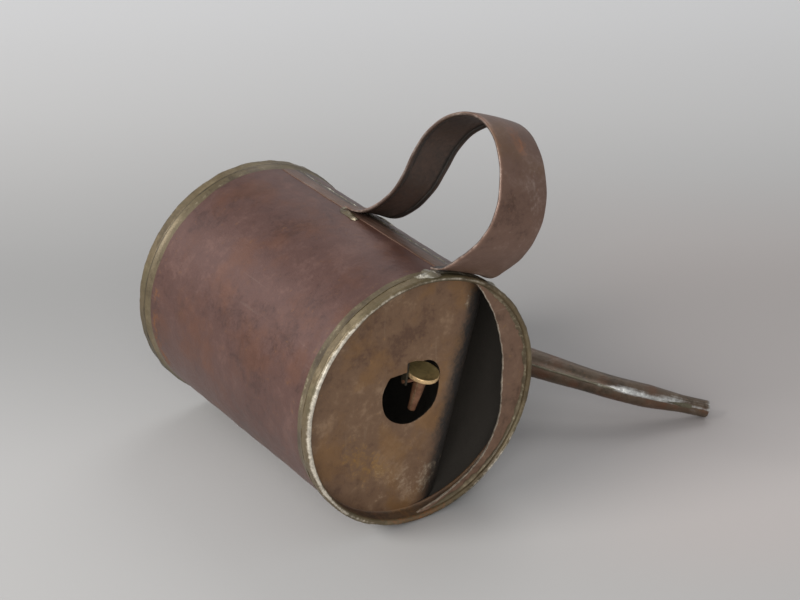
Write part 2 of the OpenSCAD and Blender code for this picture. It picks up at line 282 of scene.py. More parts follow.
class Tree:
    """Short calls for building a node tree."""

    def __init__(self, name):
        self.mat = bpy.data.materials.new(name)
        self.mat.use_nodes = True
        self.t = self.mat.node_tree
        self.t.nodes.clear()
        self.out = self.new("ShaderNodeOutputMaterial")
        self.bsdf = self.new("ShaderNodeBsdfPrincipled")
        self.t.links.new(self.bsdf.outputs[0], self.out.inputs[0])
        self.coord = self.new("ShaderNodeTexCoord").outputs["Object"]

    def new(self, kind):
        return self.t.nodes.new(kind)

    def put(self, socket, value):
        if isinstance(value, bpy.types.NodeSocket):
            self.t.links.new(value, socket)
        else:
            socket.default_value = value

    def fill(self, node, **values):
        for key, value in values.items():
            self.put(node.inputs[key], value)

    def stretch(self, x, y, z):
        n = self.new("ShaderNodeMapping")
        self.fill(n, Vector=self.coord, Scale=(x, y, z))
        return n.outputs[0]

    def noise(self, size_mm, detail=4.0, rough=0.55, vector=None, warp=0.0, w=0.0):
        n = self.new("ShaderNodeTexNoise")
        n.noise_dimensions = "4D"
        self.fill(n, Vector=vector or self.coord, Scale=1000.0 / size_mm, Detail=detail, Roughness=rough)
        self.fill(n, Distortion=warp, W=w)
        return n.outputs[0]

    def math(self, op, a, b=0.0, c=0.0, clamp=False):
        n = self.new("ShaderNodeMath")
        n.operation = op
        n.use_clamp = clamp
        for s, v in zip(n.inputs, (a, b, c)):
            self.put(s, v)
        return n.outputs[0]

    def times(self, a, b):
        return self.math("MULTIPLY", a, b)

    def plus(self, a, b):
        return self.math("ADD", a, b)

    def minus(self, a, b):
        return self.math("SUBTRACT", a, b)

    def ramp(self, value, a, b, lo=0.0, hi=1.0, kind="SMOOTHSTEP"):
        n = self.new("ShaderNodeMapRange")
        n.interpolation_type = kind
        for i, v in enumerate((value, a, b, lo, hi)):
            self.put(n.inputs[i], v)
        return n.outputs[0]

    def mix(self, f, a, b, kind="MIX"):
        n = self.new("ShaderNodeMix")
        n.data_type = "RGBA"
        n.blend_type = kind
        self.put(n.inputs[0], f)
        self.put(n.inputs[6], a)
        self.put(n.inputs[7], b)
        return n.outputs[2]

    def masks(self):
        n = self.new("ShaderNodeAttribute")
        n.attribute_name = "mask"
        s = self.new("ShaderNodeSeparateColor")
        self.t.links.new(n.outputs["Color"], s.inputs[0])
        return s.outputs

    def bump(self, height, distance_mm, normal=None):
        n = self.new("ShaderNodeBump")
        self.fill(n, Strength=1.0, Distance=distance_mm * MM, Height=height)
        if normal is not None:
            self.fill(n, Normal=normal)
        return n.outputs[0]


def patina(
    name, dark, mid, light, spot, bright, rust=(122, 62, 28), grime_and_shade=(38, 32, 28), metal=0.3,
    rough=(0.42, 0.62), spots=0.5, scratch=0.35, size=1.0, along=(1, 0.06, 1), seed=0.0,
    grain=0.03, worn_rough=0.32, worn_metal=0.75, cloud=None, ragged_by=1.0, cloud_share=0.6,
):
    """Old metal: mottled colour, speckle, scratches, and by mask worn places and painted highlights, rusty
    places, and dirty places and painted shade.
    """
    t = Tree(name)
    big = t.noise(34 * size, 5, 0.6, w=seed)
    mid_n = t.noise(9 * size, 7, 0.65, w=seed + 3, warp=0.4)
    fine = t.noise(1.6, 5, 0.6, w=seed + 7)
    tiny = t.noise(0.55, 3, 0.5, w=seed + 9)
    tone = t.math("MULTIPLY_ADD", big, 0.55, t.times(mid_n, 0.45))
    tone = t.math("MULTIPLY_ADD", t.minus(fine, 0.5), 0.22, tone)
    col = t.mix(t.ramp(tone, 0.36, 0.5), lin(dark), lin(mid))
    col = t.mix(t.ramp(tone, 0.5, 0.64), col, lin(light))
    if cloud:
        hazy = t.ramp(t.noise(26 * size, 5, 0.6, w=seed + 21), 0.48, 0.66, 0, cloud_share)
        col = t.mix(hazy, col, lin(cloud))
    speck = t.times(t.ramp(t.noise(2.6, 4, 0.7, w=seed + 13), 0.6, 0.72), spots)
    col = t.mix(speck, col, lin(spot))
    line = t.noise(2.2, 3, 0.5, vector=t.stretch(*along), w=seed + 17)
    line = t.times(t.ramp(line, 0.66, 0.74), scratch)
    col = t.mix(line, col, lin(bright))
    m = t.masks()
    ragged = t.times(t.minus(fine, 0.5), 0.9)
    ragged = t.math("MULTIPLY_ADD", t.minus(mid_n, 0.5), 1.1, ragged)
    ragged = t.times(ragged, ragged_by)
    # The grime mask paints dirt and painted shade in the grime colour; the wear mask further down paints
    # wear and painted highlights in the bright colour
    dirt_and_shade = t.ramp(t.plus(m[2], t.times(ragged, 0.7)), 0.25, 0.85)
    col = t.mix(dirt_and_shade, col, lin(grime_and_shade))
    rusty = t.ramp(t.plus(m[1], ragged), 0.35, 0.75)
    rust_col = t.mix(fine, lin(scaled(rust, 0.72)), lin(scaled(rust, 1.25)))
    col = t.mix(rusty, col, rust_col)
    worn_and_lit = t.ramp(t.plus(m[0], ragged), 0.38, 0.82)
    worn_and_lit_col = t.mix(t.ramp(fine, 0.35, 0.65), lin(scaled(bright, 0.8)), lin(bright))
    col = t.mix(worn_and_lit, col, worn_and_lit_col)
    t.put(t.bsdf.inputs["Base Color"], col)
    gloss = t.ramp(t.math("MULTIPLY_ADD", mid_n, 0.6, t.times(fine, 0.4)), 0.35, 0.65, rough[0], rough[1])
    gloss = t.plus(gloss, t.times(rusty, 0.2))
    gloss = t.mix(worn_and_lit, gloss, (worn_rough,) * 3 + (1,))
    t.put(t.bsdf.inputs["Roughness"], gloss)
    t.put(t.bsdf.inputs["Metallic"], t.ramp(t.minus(worn_and_lit, rusty), 0.0, 0.9, metal, worn_metal))
    n = t.bump(mid_n, 0.25)
    n = t.bump(fine, grain * 3, n)
    n = t.bump(tiny, grain, n)
    t.put(t.bsdf.inputs["Normal"], n)
    return t.mat


M = {
    # The body's bright colour is also the lilac grey of a faint painted sheen on its side
    "body": patina(
        "body_patina", (74, 50, 44), (90, 63, 56), (104, 76, 68), (120, 82, 48), (128, 108, 98),
        metal=0.35, rough=(0.38, 0.5), scratch=0.14, spots=0.4, seed=1.0, size=0.8, grain=0.02,
        rust=(112, 74, 44), cloud=(104, 66, 46), cloud_share=0.44, worn_metal=0.3, grime_and_shade=(82, 77, 71),
    ),
    # The plate's grime colour is also the painted shade on its rolled edge and back; its bright colour is
    # also a painted reflection and highlight
    "plate": patina(
        "plate_patina", (96, 70, 53), (122, 94, 71), (150, 122, 96), (162, 120, 70), (176, 156, 132),
        metal=0.25, rough=(0.42, 0.6), scratch=0.1, spots=0.45, seed=5.0, size=0.7, along=(1, 1, 0.08),
        cloud=(136, 100, 60), cloud_share=0.62, rust=(140, 106, 60), grime_and_shade=(50, 47, 44), worn_metal=0.3,
    ),
    # The guard's bright colour is also the painted highlight on its inner edge
    "guard": patina(
        "guard_patina", (90, 68, 53), (119, 92, 74), (136, 109, 89), (150, 118, 74), (206, 192, 172),
        metal=0.25, rough=(0.42, 0.6), seed=9.0, size=0.6, along=(0.08, 1, 1), scratch=0.1,
        worn_metal=0.5,
    ),
    # The handle's bright colour is also a painted sheen on the strap's outer face; its grime colour is also
    # painted shade on the inner side
    "handle": patina(
        "handle_patina", (88, 65, 54), (112, 86, 73), (134, 110, 98), (146, 98, 60), (178, 160, 148),
        metal=0.3, rough=(0.36, 0.48), seed=13.0, size=0.8, spots=0.3, scratch=0.1, along=(1, 0.12, 1),
        rust=(142, 90, 56), grime_and_shade=(46, 42, 38), worn_metal=0.3, cloud=(110, 82, 58), cloud_share=0.5,
        ragged_by=0.5,
    ),
    # The spout's bright colour is also the painted highlight at its bend
    "spout": patina(
        "spout_patina", (66, 55, 42), (92, 77, 62), (114, 99, 84), (128, 92, 62), (206, 206, 202),
        metal=0.3, rough=(0.34, 0.5), seed=17.0, size=0.6, along=(0.1, 1, 1), scratch=0.06, ragged_by=0.3,
        cloud=(104, 68, 48), cloud_share=0.7, worn_metal=0.45,
    ),
    # The rim's bright colour is also the painted highlight on the lip's lit side
    "rim": patina(
        "rim_tin", (80, 68, 48), (104, 90, 66), (124, 110, 84), (92, 84, 52), (226, 216, 198),
        metal=0.4, rough=(0.36, 0.5), seed=21.0, spots=0.35, scratch=0.08, grime_and_shade=(44, 40, 30), size=0.8,
        worn_metal=0.25, cloud=(94, 90, 66), cloud_share=0.5, rust=(140, 84, 44), ragged_by=0.6,
    ),
    "solder": patina(
        "dull_solder", (78, 66, 50), (100, 88, 66), (120, 106, 82), (86, 84, 58), (180, 168, 142),
        metal=0.4, rough=(0.38, 0.52), seed=25.0, spots=0.35, scratch=0.1, size=0.7, grain=0.03,
    ),
    # The seam's bright colour is also the painted highlight at the spout's bend
    "seam": patina(
        "spout_seam_tin", (74, 68, 52), (94, 88, 70), (116, 110, 94), (96, 84, 60), (208, 208, 204),
        metal=0.35, rough=(0.36, 0.5), seed=27.0, spots=0.3, scratch=0.06, size=0.6, ragged_by=0.5,
        worn_metal=0.6,
    ),
    "bright": patina(
        "worn_solder", (96, 88, 72), (128, 120, 102), (156, 148, 128), (104, 98, 70), (214, 208, 192),
        metal=0.55, rough=(0.32, 0.48), seed=29.0, spots=0.4, size=0.4, grain=0.05,
    ),
    # The brass's bright colour is also the painted highlight on the disc's edge
    "brass": patina(
        "tarnished_brass", (112, 96, 62), (138, 120, 78), (154, 136, 94), (98, 98, 64), (246, 208, 154),
        metal=0.3, rough=(0.34, 0.5), seed=33.0, spots=0.5, size=0.35, worn_metal=0.55, worn_rough=0.36,
    ),
    # Painted shade: near-black iron for the bracket, which sits in the shadow inside the hole
    "painted_shade": patina(
        "shaded_iron", (30, 26, 20), (44, 38, 28), (56, 50, 36), (60, 46, 30), (90, 80, 60),
        metal=0.3, rough=(0.5, 0.7), seed=45.0, size=0.4, scratch=0.1,
    ),
    # The stem's bright colour paints a highlight down its lit side, its grime colour painted shade down the
    # far side
    "stem": patina(
        "stem_rust", (84, 54, 38), (112, 76, 54), (140, 100, 74), (132, 80, 42), (186, 152, 118),
        metal=0.3, rough=(0.4, 0.6), seed=37.0, size=0.4,
    ),
}

# ---- the spout's shape: s_ is a length along it from its root ----

BEND_END = SPOUT_LEG + BEND_R * rad(SPOUT_BEND)
SPOUT_END = BEND_END + TAPER_L + OUTLET_L
# Outside radius of the spout at these lengths from its root
wide_at = np.array([
    (-20, ROOT_R + 0.7), (0, ROOT_R - 0.02), (SPOUT_LEG, BEND_TUBE_R), (BEND_END, BEND_TUBE_R - 0.05),
    (BEND_END + TAPER_L, OUTLET_R + 0.02), (SPOUT_END, OUTLET_R - 0.04),
])
SEAM = 16.0  # degrees from its top to its seam


def spout_centre(s_):
    """Middle of the spout [out from the axis, height] and its slope at a length from its root."""
    if s_ < SPOUT_LEG:
        return root_at + s_ * leg_way, SPOUT_SLOPE
    turned = math.degrees((s_ - SPOUT_LEG) / BEND_R)
    if turned < SPOUT_BEND:
        a_ = SPOUT_SLOPE + turned
        return bend_mid - BEND_R * np.array([math.cos(rad(a_)), -math.sin(rad(a_))]), a_
    rest = s_ - SPOUT_LEG - BEND_R * rad(SPOUT_BEND)
    return bend_out + rest * tip_way, TIP_SLOPE


def spout_ring(s_, turn, rr):
    """Points round the spout at one length, at these turns from its top and these radii."""
    c, slope = spout_centre(s_)
    t_ = np.radians(turn)
    out_, tilt = rr * np.cos(t_), rad(slope)
    return np.stack([c[0] - out_ * math.cos(tilt), rr * np.sin(t_), c[1] + out_ * math.sin(tilt)], -1)


def spout_r(s_):
    return np.interp(s_, wide_at[:, 0], wide_at[:, 1])


def cone_r(s_):
    """Plain outside radius of the straight leg."""
    return ROOT_R - (ROOT_R - BEND_TUBE_R) / SPOUT_LEG * s_


# ---- body ----

ARC_MM = BODY_R * rad(1)  # length of one degree on the body


def dent(angle, z):
    """Shallow dents in the body, in mm inwards, none near what is soldered to it."""
    p = np.stack([angle * ARC_MM * 0.8, z], -1)
    d = np.clip(uneven(p, 11, 26, 10) * 0.5 + 0.5, 0, 1) * 0.26
    d += 0.05 * (uneven(p, 12, 7, 12) + 1)
    d = d + 0.35 * toward(angle, 166, 7) * near(z, 84, 9)
    keep = smooth(z, 12, 20) * (1 - smooth(z, 118, 126))
    keep = keep * smooth(np.abs(turn_gap(angle, 88)), 12, 18)
    near_spout = np.hypot(turn_gap(angle, 0) * ARC_MM, z - SPOUT_Z)
    return d * keep * smooth(near_spout, 18, 26)


angles = np.linspace(-180, 180, 300, endpoint=False) + 5
wall = dense([(BODY_R, LIP_R), (BODY_R, CAN_H - LIP_R), (BODY_IN, CAN_H - LIP_R), (BODY_IN, LIP_R)], 1.6)
P = spin(wall, angles)
a, r, z = cyl(P)
P = polar(a, r - dent(a, z), z)
s = seen(a)
# In all masks the amounts run from 0 to 1. Heights, radii and lengths are in mm; directions are in
# degrees, from straight up as seen from the mouth (s) or from the spout (a)
body_masks = {
    "rust": 0.30 * near(s, -100, 30) * near(z, 14, 7) + 0.10 * near(s, -140, 40)
    + 0.08 * near(s, -30, 26) * near(z, 90, 40)
    + 0.28 * near(z, 125.5, 3.5) + 0.22 * near(z, 12, 3.5),
    "grime_and_shade": 0.42 * toward(a, 83, 9) + 0.3 * near(z, 126, 3) + 0.25 * near(z, 12, 2.5)
    + 0.95 * (r < BODY_IN + 0.05),
    # Faint painted sheen along the side where the light's highlight falls
    "wear_and_highlight": 0.12 * near(s, -52, 30) * near(z, 70, 40),
}
body = tube_of("can_body", P, "body_shell", "body", body_masks, ring=True)


def cut(o, cone, frame_of=LAY):
    """Takes a cone out of a piece."""
    tool = link("cutter", closed_mesh("cutter", lay(cone, frame_of), tube_faces(*cone.shape[:2], False)))
    mod = o.modifiers.new("cut", "BOOLEAN")
    mod.operation = "DIFFERENCE"
    mod.solver = "EXACT"
    mod.object = tool
    bpy.context.view_layer.update()
    got = bpy.data.meshes.new_from_object(o.evaluated_get(bpy.context.evaluated_depsgraph_get()))
    o.modifiers.clear()
    old = o.data
    got.name = old.name
    o.data = got
    tool_mesh = tool.data
    bpy.data.objects.remove(tool)
    bpy.data.meshes.remove(tool_mesh)


# The spout's hole: a plain cone that stands 0.02 mm clear of the tube
cone_turns = full_turn(64)
cut(body, np.array([spout_ring(s_, cone_turns, cone_r(s_) + 0.02) for s_ in (-14, 20)]))

# Lap of the side seam, with an uneven raised edge, and the solder run along it
SOLDER_END = 10.2
LAP_FROM, LAP_TO, BEAD_AT = 84.55, 94.4, 83.9
SUNK = 0.02  # how far the underside of what lies on a wall is sunk in it
lap_z = np.linspace(SOLDER_END, CAN_H - SOLDER_END, 150)
lap_out = []
for zz in lap_z:
    lap_start = LAP_FROM + 0.12 * math.sin(zz * 0.35) + 0.08 * math.sin(zz * 1.3 + 1)
    lap_stop = LAP_TO + 0.15 * math.sin(zz * 0.27 + 2)
    steps = np.linspace(lap_start, lap_stop, 15)
    lift = 0.44 + 0.05 * np.sin(steps * 1.9 + zz * 0.2)
    lift[0] = lift[-1] = 0.3
    top = polar(steps, BODY_R + lift, zz)
    low = polar(steps[::-1], BODY_R - SUNK, zz)
    lap_out.append(np.concatenate([top, low]))
P = np.array(lap_out)
a, r, z = cyl(P)
lap_masks = {
    # Darker grey over the lap: tinning and dirt, and painted shade where the lap faces away from the light
    "grime_and_shade": 0.35 + 0.25 * near(a, 86, 1.5),
    # Light line at the lap's outer edge: painted highlight where the edge catches the light
    "wear_and_highlight": 0.18 * near(a, 93.6, 1.0) + 0.2 * near(z, 70, 12),
    "rust": 0.2 * near(z, 100, 14),
}
tube_of("seam_lap", P, "side_seam_lap", "handle", lap_masks)

bead = []
for zz in np.linspace(SOLDER_END, CAN_H - SOLDER_END, 240):
    mid = BEAD_AT + 0.12 * math.sin(zz * 0.35) + 0.1 * math.sin(zz * 1.1)
    half = 0.55 + 0.16 * math.sin(zz * 0.83 + 0.5) + 0.1 * math.sin(zz * 2.3)
    top = 0.42 + 0.14 * math.sin(zz * 0.61) + 0.1 * math.sin(zz * 1.9 + 2)
    ring_a = np.linspace(-1, 1, 9)
    up = polar(mid + ring_a * half, BODY_R + 0.02 + top * np.sqrt(np.clip(1 - ring_a**2, 0, 1)), zz)
    low = polar(mid + ring_a[1:-1][::-1] * half, BODY_R - SUNK, zz)
    bead.append(np.concatenate([up, low]))
P = np.array(bead)
a, r, z = cyl(P)
bead_masks = {"wear_and_highlight": 0.35 + 0.25 * uneven(z[..., None], 3, 12), "grime_and_shade": 0.2 + 0.3 * near(z, 24, 10)}
tube_of("seam_solder", P, "side_seam_solder", "bright", bead_masks)

# ---- rims ----

bead_mid = (RIM_R - LIP_R, CAN_H - LIP_R)
lip = [(BODY_R, 132.8), (54.5, 132.82), (54.82, 133.05), (54.9, 133.5), (54.86, 135.0), (54.8, 136.0)]
lip += arc(bead_mid, LIP_R, -12, 190, 20)
lip += [(52.5, 136.1), (52.9, 135.6), (53.3, 135.6), (53.3, 136.6), (BODY_R, 136.6)]
profile = dense(lip, 0.45)
angles = full_turn(420)
P = spin(profile, angles)
a, r, z = cyl(P)
s = seen(a)
around = polar(a, RIM_R, z)
outer = smooth(r, 53.6, 54.2)
lapped = 1 - smooth(np.abs(turn_gap(s, -95)), 56, 57.5)
bumps = 0.10 * (1 + uneven(around, 31, 5)) + 0.05 * (1 + uneven(around, 32, 1.6))
new_r = r - outer * (0.16 * (1 - lapped) + bumps)
new_z = np.minimum(z - (z > 136) * (0.1 + 0.09 * uneven(around, 33, 9)), CAN_H)
P = polar(a, new_r, new_z)
crest = smooth(z, 135.4, 136.6)
# Worn tin on the lip, with a painted highlight strongest on the left, where the light falls
lit_worn_tin = toward(s, -82, 52) + 0.45 * toward(s, 140, 20) + 0.25 * toward(s, 20, 26)
lip_line = near(r, 53.8, 1.25) * smooth(z, 136.0, 136.9)
rim_masks = {
    "wear_and_highlight": lip_line * np.clip(0.32 + 0.95 * lit_worn_tin, 0, 1.1),
    "rust": 0.5 * toward(s, 180, 26) * crest + 0.25 * toward(s, -140, 24),
    "grime_and_shade": 0.18 * (1 - smooth(z, 132.9, 133.8)) + 0.25 * smooth(-r, -53.2, -52.4),
}
tube_of("mouth_rim", P, "top_rim_band", "rim", rim_masks, ring=True)


RIM_FOLD = 4.95  # where the fold of either rim ends on the body


def fillet(name, node, low_edge, seed, masks_of):
    """Solder drawn out on the body from a rim; low_edge gives the height at a distance from the rim."""
    around_n, down_n = 420, 12
    turn_a = full_turn(around_n)
    pos = polar(turn_a, RIM_R, 0)[:, :2]
    reach = 4.2 + 0.35 * uneven(pos, seed, 20) + 0.12 * uneven(pos, seed + 1, 7)
    reach = np.clip(reach, 2.9, RIM_FOLD)
    t = np.linspace(0, 1, down_n)
    rows = []
    for i in range(around_n):
        d = RIM_FOLD + t * (reach[i] + 0.2)
        lump = 0.05 * (1 + uneven(polar(turn_a[i], RIM_R, d), seed + 2, 6))
        high = 0.62 * np.exp(-((t / 0.36) ** 2)) + (0.24 + lump) * (1 - t) ** 0.8 + 0.015
        top = polar(turn_a[i], BODY_R + high, low_edge(d))
        low = polar(turn_a[i], BODY_R - SUNK, low_edge(d[::-1]))
        rows.append(np.concatenate([top, low]))
    P = np.array(rows)
    a_, r_, z_ = cyl(P)
    tube_of(name, P, node, "solder", masks_of(seen(a_), z_), ring=True)


def top_solder_masks(s_, z_):
    d = CAN_H - z_
    return {
        "wear_and_highlight": 0.30 * toward(s_, -60, 50) * near(d, 8.2, 1.2) + 0.15,
        "grime_and_shade": 0.15 * near(d, 5.3, 0.5) + 0.2 * near(d, 9.6, 0.6),
        "rust": 0.30 * toward(s_, -140, 26),
    }


def base_solder_masks(s_, z_):
    return {
        "wear_and_highlight": 0.25 * toward(s_, -30, 40) * near(z_, 8, 1.2) + 0.12,
        "grime_and_shade": 0.6 * near(z_, 5.3, 0.5) + 0.25 * near(z_, 9.6, 0.6),
        "rust": 0.22 * toward(s_, -95, 30),
    }


fillet("mouth_rim_tin", "top_rim_solder", lambda d: CAN_H - d, 41, top_solder_masks)
fillet("base_rim_tin", "base_rim_solder", lambda d: d, 51, base_solder_masks)

base = [
    (FLANGE_IN - 0.2, 2.1), (FLANGE_IN - 0.2, 0.9), (FLANGE_IN + 0.05, 0.35), (FLANGE_IN + 0.5, 0.02),
    (53.8, 0.0), (54.4, 0.12), (54.8, 0.5), (54.95, 1.2), (54.9, 2.2), (54.86, 3.6), (54.9, 4.5),
    (54.7, 5.0), (54.3, 5.18), (BODY_R, 5.2), (BODY_R, 1.32), (53.2, 1.32), (53.2, 2.1),
]
P = spin(dense(base, 0.5), angles)
a, r, z = cyl(P)
s = seen(a)
around = polar(a, RIM_R, z)
outer = smooth(r, 53.9, 54.5)
new_r = r - outer * (0.12 * (1 + uneven(around, 61, 6)) + 0.05 * (1 + uneven(around, 62, 1.8)))
P = polar(a, new_r, z + (z < 1) * (0.07 * np.clip(1 + uneven(around, 63, 8), 0, None)))
edge = 1 - smooth(z, 0.9, 2.2)
base_masks = {
    "wear_and_highlight": edge * (0.2 + 0.14 * toward(s, -20, 60)) + 0.06,
    "rust": 0.4 * toward(s, -100, 40) * edge,
    # Darker towards the lower left
    "grime_and_shade": 0.4 * smooth(z, 4.4, 5.1) + 0.3 * (r < 53) + 0.55 * toward(s, -118, 46),
}
tube_of("base_rim", P, "base_rim_band", "rim", base_masks, ring=True)

# ---- base plate: a shallow pan, dished a little ----

pan_r = np.linspace(0.4, 51.6, 36)
pan = [(r_, 4.0 + 0.25 * (1 - (r_ / 52) ** 2)) for r_ in pan_r]
pan += [(52.3, 3.8), (52.6, 3.4), (52.6, 1.35), (53.18, 1.35), (53.18, 4.2), (52.6, 4.58)]
pan += [(r_, 4.6 + 0.25 * (1 - (r_ / 52) ** 2)) for r_ in pan_r[::-1]]
P = spin(np.array(pan), full_turn(240))
a, r, z = cyl(P)
lump = 0.12 * uneven(P[..., :2], 71, 18) * (1 - smooth(r, 46, 51))
P = polar(a, r, np.minimum(z + lump, 5.0))
pan_masks = {
    "rust": 0.3 * near(r, 51, 3) + 0.25 * uneven(P[..., :2], 72, 20),
    "grime_and_shade": 0.45 * near(r, 52, 1.2) + 0.9 * (z > 4.3),
    "wear_and_highlight": 0.1 + 0.15 * near(r, 30, 14) - 0.1 * (z > 4.3),
}
tube_of("base_pan", P, "base_plate", "body", pan_masks, ring=True)

# ---- top plate: the hole with its notch, and the edge rolled into the can under the guard ----

HOLE, NOTCH = (-0.6, 1.1, 13.9), (5.5, 5.8, 8.15)
FLAT_RIGHT, FLAT_UP = -2.2, 10.8
ROLL_FROM, ROLL_R, ROLL_DEEP = 15.5, 16.0, 5.7
ROLL_END = math.acos(1 - ROLL_DEEP / ROLL_R)
ROLL_DIR = rad(3.0 - ROLL_DEG)
roll_x, roll_y = math.cos(ROLL_DIR), math.sin(ROLL_DIR)
PLATE_R = 52.5
hole_dir = full_turn(400)
hole_rad = np.radians(hole_dir)


def leaves(circle):
    """How far from the axis each direction leaves a circle [right, up, radius] that holds the axis."""
    b = circle[0] * np.cos(hole_rad) + circle[1] * np.sin(hole_rad)
    return b + np.sqrt(circle[2] ** 2 - circle[0] ** 2 - circle[1] ** 2 + b * b)


hole_x, hole_y = np.cos(hole_rad), np.sin(hole_rad)
left_up = (hole_x < 0) & (hole_y > 0)
flat_edge = np.maximum(FLAT_UP / np.maximum(hole_y, 1e-6), FLAT_RIGHT / np.minimum(hole_x, -1e-6))
hole_r = np.where(left_up, np.minimum(leaves(HOLE), flat_edge), leaves(HOLE))
in_notch = leaves(NOTCH) > hole_r
hole_r = np.maximum(hole_r, leaves(NOTCH))
for _ in range(2):
    hole_r = (np.roll(hole_r, 1) + 2 * hole_r + np.roll(hole_r, -1)) / 4
round_hole = polar(hole_dir, 15, 0)[:, :2]
hole_r = hole_r + 0.10 * uneven(round_hole, 81, 7) + 0.05 * uneven(round_hole, 82, 2.2)


def rolled(rr, direction, lift):
    """Points of the flat sheet, at these distances along one direction, after its edge is rolled."""
    x, y = rr * math.cos(direction), rr * math.sin(direction)
    along = x * roll_x + y * roll_y
    across = -x * roll_y + y * roll_x
    bent = np.clip((along - ROLL_FROM) / ROLL_R, 0, ROLL_END)
    along = np.minimum(along, ROLL_FROM) + (ROLL_R + lift) * np.sin(bent)
    depth = PLATE_Z - ROLL_R + (ROLL_R + lift) * np.cos(bent)
    x = along * roll_x - across * roll_y
    y = along * roll_y + across * roll_x
    return np.stack([x, y, depth], -1)


def sheet_end(direction):
    """Length of the flat sheet along one direction: to the can's wall or to the rolled edge's end."""
    shortest, longest = 10.0, 75.0
    facing = math.cos(direction - ROLL_DIR)
    if facing > 0:
        longest = min(longest, (ROLL_FROM + ROLL_R * ROLL_END) / facing)
    for _ in range(30):
        trial = (shortest + longest) / 2
        reached = rolled(np.array([trial]), direction, 0.0)[0]
        if math.hypot(reached[0], reached[1]) > PLATE_R:
            longest = trial
        else:
            shortest = trial
    return shortest


out_steps = np.concatenate([np.linspace(0, 0.06, 5), np.linspace(0.08, 1, 52)])
rows, flat_pts = [], []
for i, dr in enumerate(hole_rad):
    end = sheet_end(dr)
    rr = hole_r[i] + (end - hole_r[i]) * out_steps
    p2 = np.stack([rr * math.cos(dr), rr * math.sin(dr)], -1)
    dish = (0.14 * uneven(p2, 83, 16) + 0.05 * uneven(p2, 84, 5)) * smooth(end - rr, 0, 5)
    turned = -0.35 * np.exp(-(((rr - hole_r[i]) / 0.9) ** 2)) * (0.3 if in_notch[i] else 1.0)
    lift = -0.1 + dish + turned
    front = rolled(rr, dr, lift)
    back = rolled(rr, dr, lift - SHEET + 0.1)
    rows.append(np.concatenate([front, back[::-1]]))
    flat_pts.append(np.concatenate([p2, p2[::-1]]))
plate_pts, flat_pts = np.array(rows), np.array(flat_pts)
n_dir, n_prof = plate_pts.shape[:2]
turn_plate = rot("Z", ROLL_DEG)[:3, :3]
plate_co = plate_pts.reshape(-1, 3) @ turn_plate.T
flange = [
    (51.9, 130.0), (52.2, 130.2), (52.45, 130.6), (52.58, 131.2), (52.6, 133.0), (52.6, 136.6),
    (53.15, 136.6), (53.15, 133.0), (53.15, 129.5), (52.0, 129.42),
]
flange_rings = spin(dense(flange, 0.8), full_turn(300))
parts = [
    (plate_co, tube_faces(*plate_pts.shape[:2], True)),
    (flange_rings.reshape(-1, 3), tube_faces(*flange_rings.shape[:2], True)),
]
flat_all = flat_pts.reshape(-1, 2)
flat_along = flat_all[:, 0] * roll_x + flat_all[:, 1] * roll_y
from_hole = np.hypot(flat_all[:, 0], flat_all[:, 1]) - np.repeat(hole_r, n_prof)
is_back = np.tile(np.arange(n_prof) >= n_prof // 2, n_dir)


def plate_masks(co):
    a_, r_, z_ = cyl(co)
    s_ = seen(a_)
    flange_n = len(co) - len(plate_co)
    flat_here = np.arange(len(co)) < len(plate_co)
    gap_ = np.pad(from_hole, (0, flange_n), constant_values=20.0)
    along_ = np.pad(flat_along, (0, flange_n))
    back_ = np.pad(is_back, (0, flange_n))
    ridge = flat_here * near(along_, 16.5, 2.6)
    upper = toward(s_, 33, 14)
    return {
        # Worn hole edge; the terms towards 172 and -150 paint a highlight on the plate's lower part, the
        # pale floor's reflection
        "wear_and_highlight": 0.45 * near(gap_, 0, 0.5) + 0.42 * toward(s_, 172, 34) * near(r_, 42, 10)
        + 0.22 * toward(s_, -150, 40) * near(r_, 32, 12)
        # Painted highlight along the start of the rolled edge, strongest near the guard's upper horn
        + ridge * (0.04 + 0.5 * upper * near(r_, 44, 7) + 0.15 * toward(s_, 160, 20)),
        # Darker at the outer edge; painted shade over the plate's back, inside the can, and a painted shade
        # gradient onto the rolled edge
        "grime_and_shade": 0.55 * smooth(r_, 51.2, 52.4) + 0.10 * toward(s_, -20, 60) * near(r_, 46, 7)
        + 0.9 * back_ + 0.8 * smooth(along_, 7, 24) * flat_here,
        "rust": 0.50 * toward(s_, -135, 38) * near(r_, 34, 13) + 0.18 * toward(s_, 10, 40) * near(r_, 24, 8)
        + 0.26 * toward(s_, 30, 18) * near(r_, 44, 8) + 0.3 * toward(s_, 180, 30) * smooth(r_, 50, 52),
    }


merge("mouth_plate", parts, "top_plate", "plate", plate_masks)

# ---- crescent splash guard: [turn from its middle, inner radius] ----

